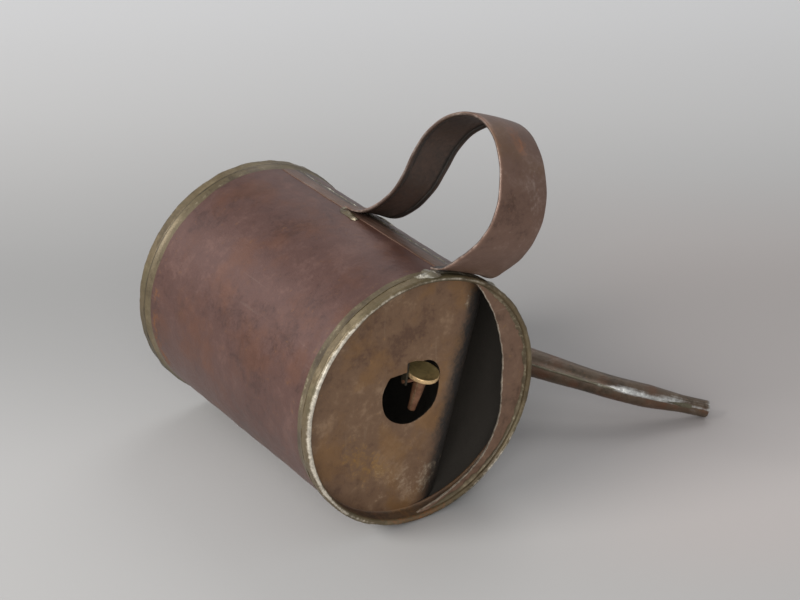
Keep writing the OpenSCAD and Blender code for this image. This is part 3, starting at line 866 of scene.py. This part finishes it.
GUARD_MID = 105.4
GUARD_Z = CAN_H - LIP_R - 1.6
guard_edge = np.array([
    (-77, 52.4), (-72.8, 51.8), (-67.6, 50.0), (-61.9, 48.0), (-54, 45.8), (-46.2, 44.0), (-38.2, 42.8),
    (-30.3, 41.8), (-20.6, 40.9), (-10.7, 40.9), (-1.1, 41.9), (8, 43.5), (17.8, 45.5), (25, 46.8),
    (33.5, 47.8), (42.9, 48.5), (51.3, 49.0), (62.5, 49.7), (73.1, 51.3), (76, 52.4),
])
turns = np.linspace(-77, 76, 170)
inner = np.interp(turns, guard_edge[:, 0], guard_edge[:, 1])
even_out(inner, 6)
inner = inner + 0.18 * np.sin(turns * 0.21) + 0.08 * np.sin(turns * 0.9)
inner = np.minimum(inner, 52.45)
rows = []
for t_, ri in zip(turns, inner):
    ang = UP_DEG - GUARD_MID - t_
    rr = np.linspace(ri, FLANGE_IN, 14)
    bow = -0.25 * np.sin((rr - ri) / (FLANGE_IN - ri + 1e-6) * math.pi) + 0.08 * math.sin(t_ * 0.13)
    bow = bow - 0.3 * np.exp(-(((rr - ri) / 1.2) ** 2))
    top = polar(ang, rr, GUARD_Z + 0.6 + bow)
    low = polar(ang, rr[::-1], GUARD_Z + 0.02 + bow[::-1])
    rows.append(np.concatenate([top, low]))
P = np.array(rows)
a, r, z = cyl(P)
s = seen(a)
from_edge = r - np.repeat(inner[:, None], P.shape[1], 1)
guard_masks = {
    # Bright line along the inner edge: worn edge and a painted highlight where the edge catches the light
    "wear_and_highlight": 0.85 * near(from_edge, 0, 0.6) + 0.3 * toward(s, 168, 10)
    + 0.25 * toward(s, 112, 6) * near(from_edge, 6, 3),
    "grime_and_shade": 0.15 * near(from_edge, 3, 1.5) * toward(s, 60, 30),
    "rust": 0.2 * toward(s, 120, 20) * smooth(from_edge, 5, 9),
}
tube_of("guard_crescent", P, "splash_guard", "guard", guard_masks)

rows = []
for t_ in np.linspace(-69.5, 69.5, 260):
    ang = UP_DEG - GUARD_MID - t_
    here = (t_ * 0.92, 0.0)
    wide = 1.35 + 0.35 * uneven_at(here, 91, 8) + 0.2 * uneven_at(here, 92, 3)
    wide = max(0.6, min(wide, 2.2)) * (0.4 + 0.6 * float(smooth(70 - abs(t_), 0, 8)))
    tall = min(1.3, 0.9 + 0.25 * uneven_at(here, 93, 6))
    k = np.linspace(0, 1, 8)
    rr = FLANGE_IN - min(wide, FLANGE_IN - float(np.interp(t_, turns, inner))) * (1 - k)
    zz = GUARD_Z + 0.56 + tall * k**2.2
    top = polar(ang, rr, zz)
    low = polar(ang, np.full(2, FLANGE_IN + 0.25), np.array([GUARD_Z + 0.6 + tall, GUARD_Z + 0.5]))
    rows.append(np.concatenate([top, low]))
P = np.array(rows)
a, r, z = cyl(P)
guard_solder_masks = {"wear_and_highlight": 0.3 + 0.2 * toward(seen(a), 70, 40), "grime_and_shade": 0.5 * toward(seen(a), 130, 22)}
tube_of("guard_solder", P, "splash_guard_solder", "solder", guard_solder_masks)

# ---- handle strap ----

HANDLE = 85.5
route = np.array([
    (-7.5, 55.7), (-3.2, 55.75), (1, 57.4), (5.6, 61.6), (10.8, 67.6), (14.8, 75.2), (16.6, 85.4),
    (13.4, 96.8), (4.6, 108.6), (-8, 116), (-22, 115.8), (-36, 108.4), (-44.2, 97.5), (-47, 86.2),
    (-49, 75.8), (-55.6, 65.2), (-65.4, 57.4), (-72.6, 55.2), (-78, 55.2),
])


def spline(pts, per):
    out, n = [], len(pts)
    for i in range(n - 1):
        p0, p1, p2, p3 = (pts[max(0, min(n - 1, i + k))] for k in (-1, 0, 1, 2))
        for k in range(per):
            t = k / per
            out.append(0.5 * (2 * p1 + (p2 - p0) * t + (2 * p0 - 5 * p1 + 4 * p2 - p3) * t * t
                              + (3 * p1 - p0 - 3 * p2 + p3) * t**3))
    out.append(pts[-1])
    return np.array(out)


line = spline(route, 9)
even_out(line, 26)
n_line = len(line)
way = np.gradient(line, axis=0)
way /= np.linalg.norm(way, axis=1)[:, None]
share = np.arange(n_line) / (n_line - 1)
STRAP_T, HEM, FOOT_ROWS = 0.8, 2.3, 27
rows, strap_u, strap_side = [], [], []
for i in range(n_line):
    half = 14.35 - 5.45 * share[i]
    from_end = min(i, n_line - 1 - i)
    foot = max(0.0, 1 - from_end / FOOT_ROWS)
    flat = float(smooth(from_end, 10, 22))
    wav = 0.12 * math.sin(i * 0.23) + 0.08 * math.sin(i * 0.71 + 1)
    deep = -STRAP_T / 2 - 0.78 * flat
    k = np.linspace(-1, 1, 17) * (half - 0.8)
    outer_face = [(x, STRAP_T / 2) for x in k]
    fold = (STRAP_T / 2 - deep) / 2
    right = [(half - 0.8 + 0.8 * math.sin(rad(q)), STRAP_T / 2 - fold * (1 - math.cos(rad(q))))
             for q in (30, 60, 90, 120, 150)]
    hem_r = [(half - 0.8, deep), (half - HEM + 0.3, deep), (half - HEM, deep + 0.25 * flat),
             (half - HEM - 0.15, -STRAP_T / 2)]
    inner_face = [(x, -STRAP_T / 2) for x in np.linspace(half - HEM - 0.5, -(half - HEM - 0.5), 13)]
    hem_l = [(-x, y) for x, y in hem_r[::-1]]
    left = [(-x, y) for x, y in right[::-1]]
    loop_ = np.array(outer_face + right + hem_r + inner_face + hem_l + left)
    x, lift = loop_[:, 0] + wav * np.sign(loop_[:, 0]) * (np.abs(loop_[:, 0]) > half - 3), loop_[:, 1]
    crown = (1 - foot) * 0.004 * x * x
    drop = foot * (line[i, 1] - np.sqrt(np.maximum(line[i, 1] ** 2 - x * x, 1)))
    n_ = np.array([way[i, 1], -way[i, 0]])
    h = line[i, 0] + (lift - crown) * n_[0]
    rr = line[i, 1] + (lift - crown) * n_[1] - drop
    rows.append(np.stack([rr, x, CAN_H + h], -1))
    strap_u.append(x / half)
    strap_side.append(lift > 0)
P = np.array(rows)
strap_u, strap_side = np.array(strap_u), np.array(strap_side)
q = np.repeat(share[:, None], P.shape[1], 1)
hem_edge = near(np.abs(strap_u), 1.0, 0.05)
strap_masks = {
    # Worn hems, and a painted sheen on the outer face near the top
    "wear_and_highlight": 0.5 * hem_edge + 0.47 * near(q, 0.385, 0.09) * near(strap_u, -0.35, 0.7) * strap_side,
    "rust": strap_side * (
        0.54 * near(q, 0.47, 0.05) * near(strap_u, 0.0, 0.6)
        + 0.34 * near(q, 0.26, 0.05) * near(strap_u, -0.3, 0.5)
        + 0.55 * near(q, 0.84, 0.04) + 0.3 * near(q, 0.95, 0.03) * near(strap_u, 0.3, 0.5)
    ) + 0.34 * near(q, 0.78, 0.05) * (1 - strap_side),
    # Painted shade on the strap's inner side, darker still near the hems
    "grime_and_shade": (1 - strap_side) * 0.62 + 0.2 * near(np.abs(strap_u), 0.78, 0.06) * (1 - strap_side),
}
STRAP = LAY @ rot("Z", HANDLE)
tube_of("handle_band", P, "handle_strap", "handle", strap_masks, frame_of=STRAP)


def puddle(angle, z0, half_a, half_z, tall, base_r, seed):
    """Domed solder patch on a round wall, with an uneven outline; sizes in mm."""
    n_a, n_r = 56, 12
    th = np.linspace(0, 2 * math.pi, n_a, endpoint=False)
    ring_pts = np.stack([np.cos(th) * 4, np.sin(th) * 4], -1)
    edge_ = 1 + 0.13 * uneven(ring_pts, seed, 4) + 0.06 * uneven(ring_pts, seed + 1, 1.6)
    power = np.maximum(np.abs(np.cos(th)), np.abs(np.sin(th))) ** -0.12
    edge_ = edge_ * power
    wide, high_ = half_a * np.cos(th) * edge_, half_z * np.sin(th) * edge_
    verts = []
    for j in range(n_r):
        k = 1 - j / n_r
        x, y = wide * k, high_ * k
        p2 = np.stack([x, y], -1)
        high = tall * (1 - k**2) ** 1.3 * (1 + 0.2 * uneven(p2, seed + 2, 3.2)) + 0.01
        verts.append(polar(angle + np.degrees(x / base_r), base_r + high, z0 + y))
    verts = np.concatenate(verts + [polar(np.array([angle]), base_r + tall, np.array([z0]))])
    under = polar(angle + np.degrees(wide / base_r), base_r - SUNK, z0 + high_)
    faces = grid_faces(n_r, n_a, False, True)
    tip = n_r * n_a
    faces += [((n_r - 1) * n_a + j, (n_r - 1) * n_a + (j + 1) % n_a, tip) for j in range(n_a)]
    start = len(verts)
    verts = np.concatenate([verts, under])
    faces += [(start + j, start + (j + 1) % n_a, (j + 1) % n_a, j) for j in range(n_a)]
    faces.append(tuple(start + j for j in range(n_a - 1, -1, -1)))
    return verts, faces


foot_a = math.degrees(math.asin(14.3 / RIM_R))
front_parts = [
    puddle(HANDLE + foot_a + 1.8, 134.4, 4.6, 3.0, 1.2, 54.7, 101),
    puddle(HANDLE + foot_a + 6.6, 133.4, 3.2, 2.2, 0.7, 54.4, 104),
    puddle(HANDLE + foot_a + 0.6, 130.2, 3.0, 2.6, 0.6, BODY_R + 0.1, 107),
    puddle(HANDLE - foot_a - 1.2, 134.4, 2.6, 2.2, 0.8, 54.7, 110),
    puddle(HANDLE, 133.6, 13.6, 2.6, 0.35, 54.9, 113),
]
merge("handle_front_tin", front_parts, "handle_front_solder", "bright",
      lambda co: {"wear_and_highlight": 0.36 + 0.4 * uneven(co, 5, 4), "grime_and_shade": 0.2 + 0.2 * uneven(co, 6, 6)})
back_a = math.degrees(math.asin(9.0 / BODY_R))
back_parts = [
    puddle(HANDLE + back_a + 0.9, 65.0, 2.8, 5.4, 0.75, BODY_R + 0.1, 121),
    puddle(HANDLE - back_a - 0.6, 66.0, 2.2, 5.6, 0.6, BODY_R, 124),
    puddle(HANDLE + 1.0, 59.0, 8.8, 1.8, 0.7, BODY_R + 0.4, 127),
    puddle(HANDLE + back_a + 2.0, 70.6, 2.2, 2.6, 0.6, BODY_R + 0.2, 130),
]
merge("handle_back_tin", back_parts, "handle_back_solder", "solder",
      lambda co: {"wear_and_highlight": 0.3 + 0.3 * uneven(co, 7, 4), "grime_and_shade": 0.2 + 0.2 * uneven(co, 8, 6)})

# ---- spout ----


turn = full_turn(72)
route_s = np.concatenate([np.linspace(-12, SPOUT_LEG, 84), np.linspace(SPOUT_LEG + 1, SPOUT_END - 0.5, 60),
                          [SPOUT_END - 0.2, SPOUT_END]])
outer_rings, inner_rings = [], []
for s_ in route_s:
    base_w = spout_r(s_)
    p3 = polar(turn, 6, s_)
    d = turn_gap(turn, SEAM)
    w = base_w - 0.05 * (1 + uneven(p3, 141, 12)) - 0.02 * (1 + uneven(p3, 142, 3))
    lap = 0.34 * smooth(d, -9, -5) * (1 - smooth(d, 14, 40))
    lap = lap * float(smooth(s_, 4, 12)) * (1 - 0.6 * float(smooth(s_, 118, 126)))
    tip_round = 0.18 * float(smooth(s_, SPOUT_END - 0.5, SPOUT_END))
    outer_rings.append(spout_ring(s_, turn, np.minimum(w + lap - tip_round - 0.05, base_w + 0.33)))
    inner_rings.append(spout_ring(s_, turn, base_w - SHEET + 0.03))
P = np.concatenate([np.array(outer_rings), np.array(inner_rings)[::-1]])
n_s = len(route_s)
route_at = np.concatenate([route_s, route_s[::-1]])[:, None]
from_seam = turn_gap(np.tile(turn, (2 * n_s, 1)), SEAM)
is_out = np.repeat([1.0, 0.0], n_s)[:, None]
spout_masks = {
    "wear_and_highlight": is_out * (
        # Bright patch on the seam at the bend and just past it: worn tin and a painted highlight
        0.78 * near(route_at, 102, 10) * near(from_seam, 4, 26)
        + 0.42 * near(route_at, 119, 9) * near(from_seam, 4, 24)
        + 0.30 * near(from_seam, -4, 7) * smooth(route_at, 10, 50)
        + 0.05 * uneven(from_seam[..., None], 143, 14, spread=1.6) * smooth(route_at, 20, 60)
        + 0.42 * smooth(route_at, 110, 126) * near(from_seam, 30, 70)
    ) + 0.3 * smooth(route_at, SPOUT_END - 1.2, SPOUT_END),
    "rust": 0.2 * near(route_at, 60, 14) * near(from_seam, 60, 40) * is_out,
    "grime_and_shade": 0.5 * (1 - is_out)
    + is_out * (0.3 * near(from_seam, -14, 6) + 0.25 * (np.abs(from_seam) > 120)),
}
spout = tube_of("spout_pipe", P, "spout_tube", "spout", spout_masks, ring=True)


def trim_inside(o, radius):
    """Takes off what reaches inside the can's wall: vertices are pulled out along the spout."""
    inv = np.linalg.inv(LAY)
    co = np.array([v.co for v in o.data.vertices]) / MM
    p = co @ inv[:3, :3].T + inv[:3, 3]
    way3 = np.array([leg_way[0], 0, leg_way[1]])
    for _ in range(8):
        gap = radius - np.hypot(p[:, 0], p[:, 1])
        p = p + np.clip(gap, 0, None)[:, None] * way3 * 1.2
    co = lay(p)
    for v, c in zip(o.data.vertices, co):
        v.co = c
    o.data.update()


trim_inside(spout, BODY_IN)

BEAD_TURN = SEAM - 5
seam_s = np.linspace(14, 132, 200)
rows = []
for s_ in seam_s:
    base_w = spout_r(s_)
    here = (s_, 0.0)
    half_d = (7 + 2.0 * uneven_at(here, 151, 7)) * (BEND_TUBE_R / base_w)
    tall = 0.2 + 0.08 * uneven_at(here, 152, 4)
    k = np.linspace(-1, 1, 9)
    up = spout_ring(s_, BEAD_TURN + k * half_d, base_w + 0.06 + tall * np.sqrt(np.clip(1 - k * k, 0, 1)))
    low = spout_ring(s_, BEAD_TURN + k[1:-1][::-1] * half_d, base_w - 0.1)
    rows.append(np.concatenate([up, low]))
P = np.array(rows)
route_at = np.repeat(seam_s[:, None], P.shape[1], 1)
seam_tin_masks = {
    # Bright patch at the bend and just past it: worn tin and a painted highlight
    "wear_and_highlight": 0.16 + 0.85 * near(route_at, 104, 10) + 0.4 * near(route_at, 119, 8)
    + 0.10 * uneven(route_at[..., None], 9, 10),
    "grime_and_shade": 0.2 * (1 - smooth(route_at, 40, 85)),
}
tube_of("spout_seam_tin", P, "spout_seam_solder", "seam", seam_tin_masks)

# Solder round the spout's root, drawn out on the body and up the spout
ROOT_CLIMB, ROOT_REACH = 4.0, 2.3
turns_ = full_turn(96)


def on_wall(turn_, grow, s_guess=0.0):
    """Route length at which a line along the spout's side meets the body's wall."""
    s_v = np.full(len(turn_), s_guess)
    for _ in range(25):
        pts = np.array([spout_ring(float(sv), np.array([tt]), np.array([cone_r(sv) + grow]))[0]
                        for sv, tt in zip(s_v, turn_)])
        s_v = s_v + (BODY_R - np.hypot(pts[:, 0], pts[:, 1])) * 1.1
    return s_v


def root_point(s_, turn_, grow, keep_out):
    """Point on the spout's side, moved straight out where it is nearer to the axis than keep_out."""
    pt = spout_ring(float(s_), np.array([turn_]), np.array([cone_r(s_) + grow]))[0]
    out_by = max(1.0, keep_out / math.hypot(pt[0], pt[1]))
    return pt * np.array([out_by, out_by, 1])


seat = on_wall(turns_, 0.0)
wide_seat = on_wall(turns_, ROOT_REACH + 0.1)
rows = []
for j, tt in enumerate(turns_):
    more = 1 + 0.18 * uneven_at((math.cos(rad(tt)) * 9, math.sin(rad(tt)) * 9), 161, 6)
    climb = ROOT_CLIMB * more
    prof = []
    for k in np.linspace(0, 1, 8):
        g = ROOT_REACH * (1 - k) ** 1.8 * more + 0.05
        s_here = seat[j] + climb * k**1.3 + (wide_seat[j] - seat[j]) * (1 - k) ** 1.8
        prof.append(root_point(s_here, tt, g, BODY_R + 0.02))
    for s_here in (seat[j] + climb, seat[j]):
        prof.append(root_point(s_here, tt, -0.1, BODY_R - 0.05))
    rows.append(prof)
P = np.array(rows)
root_tin_masks = {"wear_and_highlight": 0.2 + 0.25 * uneven(P, 162, 6), "grime_and_shade": 0.2 + 0.2 * uneven(P, 163, 9)}
tube_of("spout_root_tin", P, "spout_root_solder", "solder", root_tin_masks, ring=True)

# ---- stopper ----

HEAD_RISE, HEAD_T, HEAD_R, LEAN = 3.3, 2.2, 7.0, 13.5
STEM_D, STEM_TIP_D, STEM_L = 6.0, 3.6, 15.5
BRASS_TO_IRON = 1.08
head_low = HEAD_RISE - HEAD_T / 2
head_mass = (2 * HEAD_R) ** 2 * HEAD_T * BRASS_TO_IRON
stem_len = head_low + STEM_L
stem_sum = STEM_D**2 + STEM_D * STEM_TIP_D + STEM_TIP_D**2
stem_mass = stem_len * stem_sum / 3
stem_mid = head_low - stem_len * (stem_sum + STEM_D * STEM_TIP_D + 2 * STEM_TIP_D**2) / stem_sum / 4
mass_z = (head_mass * HEAD_RISE + stem_mass * stem_mid) / (head_mass + stem_mass)
IN_STOPPER = AT_PIN @ rot("X", LEAN) @ shift(0, mass_z * math.tan(rad(LEAN)), 0)

low, top = head_low, head_low + HEAD_T
disc = [(0.05, low), (3.0, low), (6.2, low), (6.75, low + 0.12), (6.97, low + 0.5), (6.99, low + 1.2),
        (6.99, top - 0.5), (6.8, top - 0.12), (6.45, top - 0.02), (6.1, top - 0.16), (5.0, top - 0.32),
        (2.6, top - 0.38), (0.05, top - 0.4)]
P = spin(dense(disc, 0.4), full_turn(120))
a, r, z = cyl(P)
ding = 0.06 * (1 + uneven(P, 171, 4)) * smooth(r, 5.5, 6.8)
P = polar(a, r - ding, z - 0.05 * (1 + uneven(P, 172, 3)) * (z > low + 1))
head_masks = {
    # Bright edge and a line on the raised rim: worn brass and a painted highlight, strongest on one side
    "wear_and_highlight": near(r, 6.95, 0.4) * (0.45 + 0.6 * toward(a, -110, 70)) + 0.3 * near(r, 6.1, 0.3),
    "grime_and_shade": 0.4 * (z < low + 0.1) + 0.25 * toward(a, 0, 50) * (r > 6.5),
}
tube_of("stopper_disc", P, "stopper_head", "brass", head_masks, True, STOPPER, IN_STOPPER)

bore_half, bore_r = 5.0, 0.85
stem_prof = [
    (0.05, -STEM_L), (1.4, -STEM_L), (1.76, -STEM_L + 0.4), (2.98, head_low - 0.1), (2.98, head_low),
    (0.05, head_low),
]
P = spin(dense(stem_prof, 0.5), full_turn(72))
a, r, z = cyl(P)
P = polar(a, r - 0.05 * (1 + uneven(P, 175, 3)) * (r > 1), z)
stem_masks = {
    # Painted highlight: a light line down the stem's lit side
    "wear_and_highlight": 0.75 * toward(a, -148, 16) * (r > 1),
    # Painted shade down the stem's far side
    "grime_and_shade": 0.45 * toward(a, -40, 45),
}
stem = tube_of("stopper_rod", P, "stopper_stem", "stem", stem_masks, True, STOPPER, IN_STOPPER)
turn_b = np.radians(full_turn(32))
pin_bore = np.array([
    np.stack([np.full(32, x_), bore_r * np.cos(turn_b), bore_r * np.sin(turn_b)], -1)
    for x_ in (-bore_half, bore_half)
])
cut(stem, pin_bore, AT_PIN)

# The pin and the bracket keep their CAD shape
# The bracket is painted near-black, as painted shade, to vanish into the shadow inside the hole
for node, key in (("stopper_pin", "stem"), ("stopper_bracket", "painted_shade")):
    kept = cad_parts[node]
    kept.data.materials.clear()
    kept.data.materials.append(M[key])
    mod = kept.modifiers.new("worn_edges", "BEVEL")
    mod.width = 0.12 * MM
    mod.segments = 2
    mod.limit_method = "ANGLE"

# ---- floor, light and camera ----

# Camera: direction in degrees, metres from the mouth's middle, lens in mm, and how far the mouth's
# middle stands to the right of and below the line of sight, as slopes
AZIMUTH, ELEVATION = -34.05, 27.0
CAMERA_AWAY, LENS = 0.9084, 102.11
MOUTH_RIGHT, MOUTH_BELOW = 0.01054557, 0.04552265

# Painted light and shade on the floor: grey of the floor's paper from the near side to the far side, darker
# in a band across the middle: metres along the camera's azimuth, grey
FLOOR_NEAR, FLOOR_FAR = -0.2, 0.65
FLOOR_PAINTED_LIGHT = [
    (-0.2, 0.431), (0.65, 0.697), (-0.12, 0.439), (-0.05, 0.455), (0, 0.421), (0.06, 0.366), (0.13, 0.331),
    (0.19, 0.375), (0.27, 0.45), (0.36, 0.537), (0.46, 0.602), (0.55, 0.664),
]


def floor_material():
    t = Tree("pale_floor")
    split = t.new("ShaderNodeSeparateXYZ")
    t.put(split.inputs[0], t.new("ShaderNodeNewGeometry").outputs["Position"])
    turned = rad(-AZIMUTH)
    east, north = split.outputs[:2]
    away = t.plus(t.times(east, math.sin(turned)), t.times(north, math.cos(turned)))
    # Painted light and shade: the floor's grey along the camera's azimuth
    painted_shade = t.new("ShaderNodeValToRGB")
    t.put(painted_shade.inputs[0], t.ramp(away, FLOOR_NEAR, FLOOR_FAR, 0.0, 1.0, "LINEAR"))
    bar = painted_shade.color_ramp
    bar.interpolation = "B_SPLINE"
    for i, (place, grey) in enumerate(FLOOR_PAINTED_LIGHT):
        share = (place - FLOOR_NEAR) / (FLOOR_FAR - FLOOR_NEAR)
        stop = bar.elements[i] if i < 2 else bar.elements.new(share)
        warm = 1 - min(max((place - 0.3) / 0.25, 0), 1)
        stop.color = (grey * (1.005 + 0.01 * warm), grey, grey * (1.0 - 0.016 * warm), 1)
    aside = t.plus(t.times(east, math.cos(turned)), t.times(north, -math.sin(turned)))
    pink = t.times(t.ramp(aside, 0.0, 0.12), t.ramp(away, 0.3, 0.14))
    pink = t.times(pink, t.ramp(away, -0.16, -0.08))
    t.put(t.bsdf.inputs["Base Color"], t.mix(pink, painted_shade.outputs[0], (1.06, 1.0, 0.985, 1), "MULTIPLY"))
    t.put(t.bsdf.inputs["Roughness"], 0.75)
    t.put(t.bsdf.inputs["Specular IOR Level"], 0.2)
    t.put(t.bsdf.inputs["Normal"], t.bump(t.noise(2.5, 3), 0.03))
    return t.mat


HALF = 6.0  # metres from the floor's middle to its sides
me = bpy.data.meshes.new("floor")
corners = [(-HALF, -HALF, 0), (HALF, -HALF, 0), (HALF, HALF, 0), (-HALF, HALF, 0)]
me.from_pydata(corners, [], [(0, 1, 2, 3)])
floor = link("floor", me)
me.materials.append(floor_material())

az, el = rad(AZIMUTH), rad(ELEVATION)
right = Vector((math.cos(az), math.sin(az), 0))
forward = Vector((-math.sin(az) * math.cos(el), math.cos(az) * math.cos(el), -math.sin(el)))
upward = right.cross(forward)
mouth = Vector(lay([(0, 0, CAN_H)])[0])
sight = (forward + right * MOUTH_RIGHT - upward * MOUTH_BELOW).normalized()
eye = mouth - sight * CAMERA_AWAY
cam = link("camera", bpy.data.cameras.new("camera"))
cam.matrix_world = Matrix.Translation(eye) @ Matrix((right, upward, -forward)).transposed().to_4x4()
cam.data.lens = LENS
cam.data.clip_start = 0.02
cam.data.clip_end = 50
bpy.context.scene.camera = cam
flat_ahead = Vector((-math.sin(az), math.cos(az), 0))


def area(name, offset, size, power, colour, aim=(0, 0, 0.05)):
    """Soft light placed by right, ahead and up from the object's middle, in metres."""
    data = bpy.data.lights.new(name, "AREA")
    data.shape = "DISK"
    data.size = size
    data.energy = power
    data.color = colour
    o = link(name, data)
    place = right * offset[0] + flat_ahead * offset[1] + Vector((0, 0, offset[2]))
    o.location = place
    o.rotation_euler = (Vector(aim) - place).to_track_quat("-Z", "Y").to_euler()
    return o


area("key_light", (-1.15, -0.55, 0.85), 0.6, 16.5, (1.0, 0.985, 0.96))
area("front_fill", (-0.1, -1.25, 0.6), 0.9, 7.5, (1.0, 0.99, 0.98))
area("side_sheen", (-1.24, 0.51, 0.72), 0.9, 2.1, (0.93, 0.96, 1.0))
area("back_light", (0.3, 1.2, 1.4), 1.0, 5.5, (1.0, 1.0, 1.0))

world = bpy.data.worlds.new("studio")
bpy.context.scene.world = world
world.use_nodes = True
sky = world.node_tree.nodes["Background"].inputs
sky[0].default_value = (0.95, 0.97, 1.0, 1)
sky[1].default_value = 0.42
bpy.context.scene.view_settings.view_transform = "Standard"
